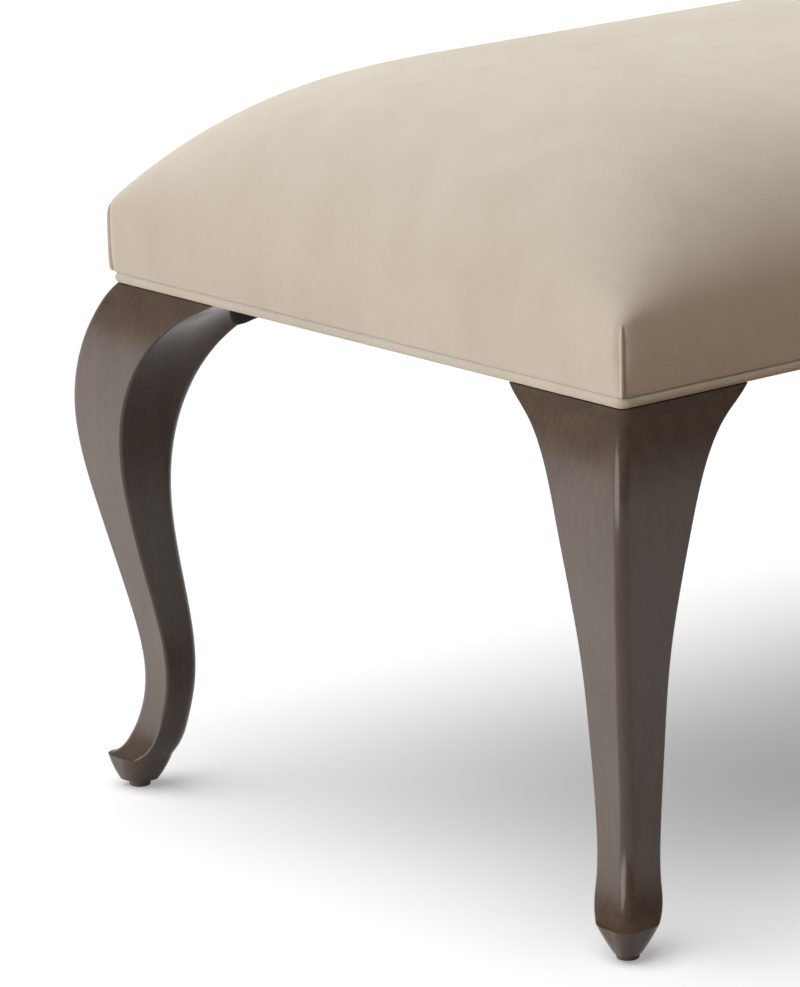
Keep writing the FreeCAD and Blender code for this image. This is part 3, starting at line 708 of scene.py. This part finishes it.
dust = bmesh.new()
bmesh.ops.create_grid(dust, x_segments=104, y_segments=42, size=1)
bmesh.ops.scale(dust, verts=dust.verts, vec=(DUST_HALF.x, DUST_HALF.y, 1))
for side in (-1, 1):
    for cut, way in (((DUST_NOTCH.x * side, 0, 0), (1, 0, 0)), ((0, DUST_NOTCH.y * side, 0), (0, 1, 0))):
        bmesh.ops.bisect_plane(dust, geom=whole(dust), plane_co=cut, plane_no=way)
notched = [face for face in dust.faces if abs(face.calc_center_median().x) > DUST_NOTCH.x
           and abs(face.calc_center_median().y) > DUST_NOTCH.y]
bmesh.ops.delete(dust, geom=notched, context="FACES")
for point in dust.verts:
    point.co.z = DUST_HEIGHT - dust_drop(point.co.copy())
noise.seed_set(CRUMPLE_SEED)
turn_down_flaps(dust)
dust_cover = piece("dust_sheet", dust, dust_cloth_finish())
subdivide(dust_cover)
thicken(dust_cover, DUST_THICKNESS, 0)
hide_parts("dust_cover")

# %% [markdown]
# A staple's crown is a flat wire a centimetre long whose ends bend into the wood. One cube, stretched and
# bevelled, is enough for one staple. It is copied and turned along every edge of the dust cover.

# %% Staples
STAPLE_SIZE = Vector((0.010, 0.0011, 0.0006))
STAPLE_BEVEL = 0.0002
STAPLE_INSET = 0.006
STAPLE_DROP = 0.0004


def staple_places():
    """Place and turn of every staple on the long edges, then on the ends."""
    for reach, edge, turn in ((DUST_NOTCH.x, DUST_HALF.y, 0), (DUST_NOTCH.y, DUST_HALF.x, math.pi / 2)):
        number = int(2 * reach / STAPLE_PITCH)
        for step in range(number):
            along = (step - (number - 1) / 2) * STAPLE_PITCH
            for side in (-1, 1):
                flat = Vector((along, side * (edge - STAPLE_INSET), 0))
                yield Matrix.Rotation(turn, 3, "Z") @ flat, turn


staples = bmesh.new()
bmesh.ops.create_cube(staples, size=1)
bmesh.ops.scale(staples, verts=staples.verts, vec=STAPLE_SIZE)
ends = [edge for edge in staples.edges if abs(edge.verts[0].co.x - edge.verts[1].co.x) < 1e-6]
bmesh.ops.bevel(staples, geom=ends, offset=STAPLE_BEVEL, affect="EDGES", segments=1, profile=0.5, material=-1)
first = whole(staples)
for place, turn in staple_places():
    copy = bmesh.ops.duplicate(staples, geom=first)["geom"]
    points = [part for part in copy if isinstance(part, bmesh.types.BMVert)]
    height = DUST_HEIGHT - dust_drop(place) - STAPLE_DROP
    bmesh.ops.rotate(staples, verts=points, cent=(0, 0, 0), matrix=Matrix.Rotation(turn, 3, "Z"))
    bmesh.ops.translate(staples, verts=points, vec=(place.x, place.y, height))
bmesh.ops.delete(staples, geom=first, context="VERTS")
staple_row = piece("dust_staples", staples, zinc_steel, smooth=False)
print("staple faces:", len(staple_row.data.polygons))

# %% [markdown]
# Inside the seat, interlaced webbing carries a deck cloth, a crowned foam block and a thin wadding that
# keeps the velvet smooth. They can't be seen on a finished bench, but the part may be opened up. The foam
# and the wadding are the same crown as the cover, shrunk, so the layers nest without touching.

# %% Foam block and wadding
DECK_BASE = 0.3886
DECK_THICKNESS = 0.0008
FOAM_BASE = DECK_BASE + DECK_THICKNESS + 0.0001
FOAM_INSET = 0.0048
WADDING_INSET = 0.003
WADDING_THICKNESS = 0.0014
WADDING_BASE = 0.3538


def foam_finish():
    """Cream open-cell foam."""
    foam = Finish("foam")
    cells = foam.node("TexVoronoi", {"Vector": foam.place(), "Scale": 700}, "Distance")
    age = foam.noise(9, 3)
    colour = foam.mix(age * 0.7 + cells * 0.3, srgb(238, 226, 188), srgb(226, 206, 158))
    return foam.finish(colour, 0.85 + 0.1 * cells, cells, 0.0008, 0.6)


def wadding_finish():
    """White matted fibres."""
    fleece = Finish("wadding", Sheen_Weight=0.3)
    fibres = fleece.noise(300, 5, Roughness=0.75, Distortion=2.5)
    colour = fleece.mix(fibres, srgb(226, 225, 220), srgb(246, 246, 242))
    return fleece.finish(colour, 0.9 + 0.08 * fibres, fibres, 0.001, 0.5)


foam_form, foam_rim, _ = crowned_blank(FOAM_INSET, FOAM_BASE, cells_long=64, cells_wide=30, side_rows=2)
round_corners(foam_form)
bmesh.ops.holes_fill(foam_form, edges=foam_rim, sides=0)
foam_block = piece("foam_block", foam_form, foam_finish())
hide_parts("foam_core")
fleece_form, _, _ = crowned_blank(WADDING_INSET, WADDING_BASE, cells_long=64, cells_wide=30, side_rows=4)
round_corners(fleece_form)
wadding = piece("wadding_layer", fleece_form, wadding_finish())
thicken(wadding, WADDING_THICKNESS)
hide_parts("padding_wrap")
print("foam faces:", len(foam_block.data.polygons), "wadding faces:", len(wadding.data.polygons))

# %% [markdown]
# Webbing straps pass over and under each other from rail to rail. Each is a long grid whose height follows
# the crossings, with a woven finish that reads a map laid along the strap, so the threads run with it.

# %% Webbing and deck cloth
RAIL_TOP = 0.3862
WEB_WIDTH = 0.06
WEB_THICKNESS = 0.0012
WEB_MARGIN = 0.005
WEB_CELL = 0.004
FRAME_INSET = 0.0086
FRAME_HALF = Vector((SEAT_LENGTH / 2 - FRAME_INSET, SEAT_WIDTH / 2 - FRAME_INSET))
RAIL_THICKNESS = 0.024
DECK_MARGIN = 0.004
CLOTH_SHARE = 0.9
LONG_WEB_COUNT = 3
CROSS_WEB_COUNT = 7


def woven_finish(name, dark, light, pitch, map_name=None):
    """Plain weave of two sets of threads, a pitch apart."""
    cloth = Finish(name)
    spot = cloth.node("UVMap", {}, "UV", uv_map=map_name) if map_name else cloth.place()
    waves = {"Vector": spot, "Scale": math.pi / 10 / pitch * 2, "Distortion": 0.6}
    warp, weft = (cloth.node("TexWave", waves, "Fac", bands_direction=way) for way in ("X", "Y"))
    slubs = cloth.noise(60, 4, Roughness=0.65)
    height = warp * weft
    colour = cloth.mix(height * 0.6 + slubs * 0.4, dark, light)
    return cloth.finish(colour, 0.75 + 0.2 * slubs, height, 0.0005, 0.6)


def even_places(count, span):
    """Places that divide a span evenly, measured from its middle."""
    return [span * (number / (count + 1) - 0.5) for number in range(1, count + 1)]


def strap_height(along, crossings, starts_over):
    """Height of a strap over the rails: raised over every other crossing, with slopes between."""
    flat = WEB_WIDTH / 2 + WEB_MARGIN
    marks = [(-1, 0)]
    for count, crossing in enumerate(crossings):
        level = WEB_THICKNESS if (count + starts_over) % 2 else 0
        marks += [(crossing - flat, level), (crossing + flat, level)]
    marks.append((1, 0))
    for (left, low), (right, high) in zip(marks, marks[1:]):
        if left <= along <= right:
            return low + (high - low) * (along - left) / (right - left)
    return 0


def strap(name, half, crossings, starts_over, place, turn, material):
    """One strap along X, turned and moved to its place."""
    form = bmesh.new()
    layer = form.loops.layers.uv.new("threads")
    bmesh.ops.create_grid(form, x_segments=round(half / WEB_CELL), y_segments=6, size=1)
    bmesh.ops.scale(form, verts=form.verts, vec=(half, WEB_WIDTH / 2, 1))
    for face in form.faces:
        for loop in face.loops:
            loop[layer].uv = loop.vert.co.xy
    for point in form.verts:
        point.co.z = strap_height(point.co.x, crossings, starts_over) + WEB_THICKNESS / 2
    bmesh.ops.rotate(form, verts=form.verts, cent=(0, 0, 0), matrix=Matrix.Rotation(turn, 3, "Z"))
    bmesh.ops.translate(form, verts=form.verts, vec=place)
    made = piece(f"strap_{name}", form, material)
    thicken(made, WEB_THICKNESS * CLOTH_SHARE, 0)
    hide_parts(name)


webbing = woven_finish("webbing", srgb(112, 88, 58), srgb(196, 168, 122), 0.0022, "threads")
long_places = even_places(LONG_WEB_COUNT, 2 * (FRAME_HALF.y - RAIL_THICKNESS))
cross_places = even_places(CROSS_WEB_COUNT, 2 * (FRAME_HALF.x - RAIL_THICKNESS))
for number, y in enumerate(long_places):
    strap(f"long_web_{number + 1}", FRAME_HALF.x, cross_places, number, (0, y, RAIL_TOP), 0, webbing)
for number, x in enumerate(cross_places):
    strap(f"cross_web_{number + 1}", FRAME_HALF.y, long_places, number + 1, (x, 0, RAIL_TOP), math.pi / 2,
          webbing)

deck = bmesh.new()
bmesh.ops.create_grid(deck, x_segments=60, y_segments=24, size=1)
deck_half = FRAME_HALF - Vector((DECK_MARGIN, DECK_MARGIN))
bmesh.ops.scale(deck, verts=deck.verts, vec=(deck_half.x, deck_half.y, 1))
bmesh.ops.translate(deck, verts=deck.verts, vec=(0, 0, DECK_BASE + DECK_THICKNESS / 2))
deck_weave = woven_finish("deck_cloth", srgb(150, 130, 100), srgb(206, 190, 160), 0.0014)
deck_sheet = piece("deck_sheet", deck, deck_weave)
thicken(deck_sheet, DECK_THICKNESS * CLOTH_SHARE, 0)
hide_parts("deck_cloth")
print("straps:", LONG_WEB_COUNT + CROSS_WEB_COUNT, "deck cloth:", [round(2 * half, 4) for half in deck_half])

# %% [markdown]
# The studio is a white floor that runs out of sight. Rays that see it find white paper with a faint glow, so
# it stays white in the picture, while the light that it throws back on the bench is that of a warm, darker
# floor. Light Path tells the two kinds of ray apart.

# %% Floor
WHITE = (1.0, 1.0, 1.0)
BLACK = (0.0, 0.0, 0.0)
FLOOR_SIZE = 60
FLOOR_WHITE = (0.95, 0.95, 0.95)
FLOOR_WHITE_WORN = (0.93, 0.93, 0.93)
FLOOR_BOUNCE = (0.5, 0.33, 0.22)
FLOOR_GLOW = (0.35, 0.35, 0.35)

floor_form = bmesh.new()
bmesh.ops.create_grid(floor_form, x_segments=1, y_segments=1, size=FLOOR_SIZE / 2)
floor_mesh = bpy.data.meshes.new("floor")
floor_form.to_mesh(floor_mesh)
floor_form.free()
floor = bpy.data.objects.new("floor", floor_mesh)
bpy.context.scene.collection.objects.link(floor)
floor_paint = Finish("floor_paint", Specular_IOR_Level=0, Emission_Strength=1)
paper = floor_paint.mix(floor_paint.noise(3, 3), FLOOR_WHITE, FLOOR_WHITE_WORN)
floor_paint.feed(floor_paint.shader.inputs["Emission Color"],
                 floor_paint.mix(floor_paint.seen(), BLACK, FLOOR_GLOW))
floor_colour = floor_paint.mix(floor_paint.seen(), FLOOR_BOUNCE, paper)
floor_mesh.materials.append(floor_paint.finish(floor_colour, 0.9))
print("floor:", FLOOR_SIZE, "m wide")

# %% [markdown]
# Lamps of the sun type light every place alike, and a wide spread makes them soft. A low lamp on the left
# lights the end of the seat, two behind it light the crown, a lamp at the back touches the ridge and a warm
# one on the right opens the front. The bounce lamp shines from below the horizon, as a bright stretch of
# floor behind the bench would, and the lacquer mirrors it. With light linking these lamps pass the floor by,
# and the floor has a lamp of its own, so it stays evenly white with one soft shadow.

# %% Lamps
def lamp(name, azimuth, elevation, spread, strength, colour=WHITE, mirrored=False, floor_link="EXCLUDE"):
    """Sun lamp from a compass azimuth, 0 being +Y and 90 being +X, and an elevation, in degrees.

    It lights all but the floor, or with a floor_link of INCLUDE only the floor. Gloss shows it if mirrored.
    """
    light = bpy.data.lights.new(name, "SUN")
    light.energy = strength
    light.angle = math.radians(spread)
    light.color = colour
    thing = bpy.data.objects.new(name, light)
    turn, lift = math.radians(azimuth), math.radians(elevation)
    source = Vector((math.sin(turn) * math.cos(lift), math.cos(turn) * math.cos(lift), math.sin(lift)))
    thing.rotation_euler = source.to_track_quat("Z", "Y").to_euler()
    bpy.context.scene.collection.objects.link(thing)
    floor_only = bpy.data.collections.new(f"{name}_floor")
    floor_only.objects.link(floor)
    floor_only.collection_objects[0].light_linking.link_state = floor_link
    thing.light_linking.receiver_collection = floor_only
    if elevation < 0:
        thing.light_linking.blocker_collection = floor_only
    thing.visible_glossy = mirrored


lamp("left_lamp", -90, 12, 50, 2.35, mirrored=True)
lamp("back_left_lamp", -42, 45, 60, 1.15)
lamp("wide_left_lamp", -65, 40, 100, 1.2)
lamp("right_lamp", 90, 40, 100, 2.1, colour=(1, 0.89, 0.74))
lamp("back_lamp", 20, 20, 60, 0.6)
lamp("bounce_lamp", -40, -13, 44, 0.45, mirrored=True)
lamp("floor_lamp", -60, 75, 65, 2.45, floor_link="INCLUDE")

# %% [markdown]
# The world adds a little warm light from all round. Seen in the lacquer, it is a backdrop that is white at
# the horizon and darkens upwards, as a studio with a dim ceiling does.

# %% World
AMBIENT = (0.02, 0.014, 0.01)
BACKDROP = ((0.0, 1), (0.3, 0.2))

world = bpy.data.worlds.new("studio")
bpy.context.scene.world = world
studio = Graph(world)
background = world.node_tree.nodes["Background"]
height = studio.node("SeparateXYZ", {0: studio.node("TexCoord", {}, "Generated")}, "Z")
backdrop = studio.node("ValToRGB", {"Fac": height}, stops=BACKDROP)
studio.feed(background.inputs["Color"], studio.mix(studio.seen(), AMBIENT, backdrop))
bpy.context.scene.view_settings.view_transform = "Standard"
print("world:", world.name)
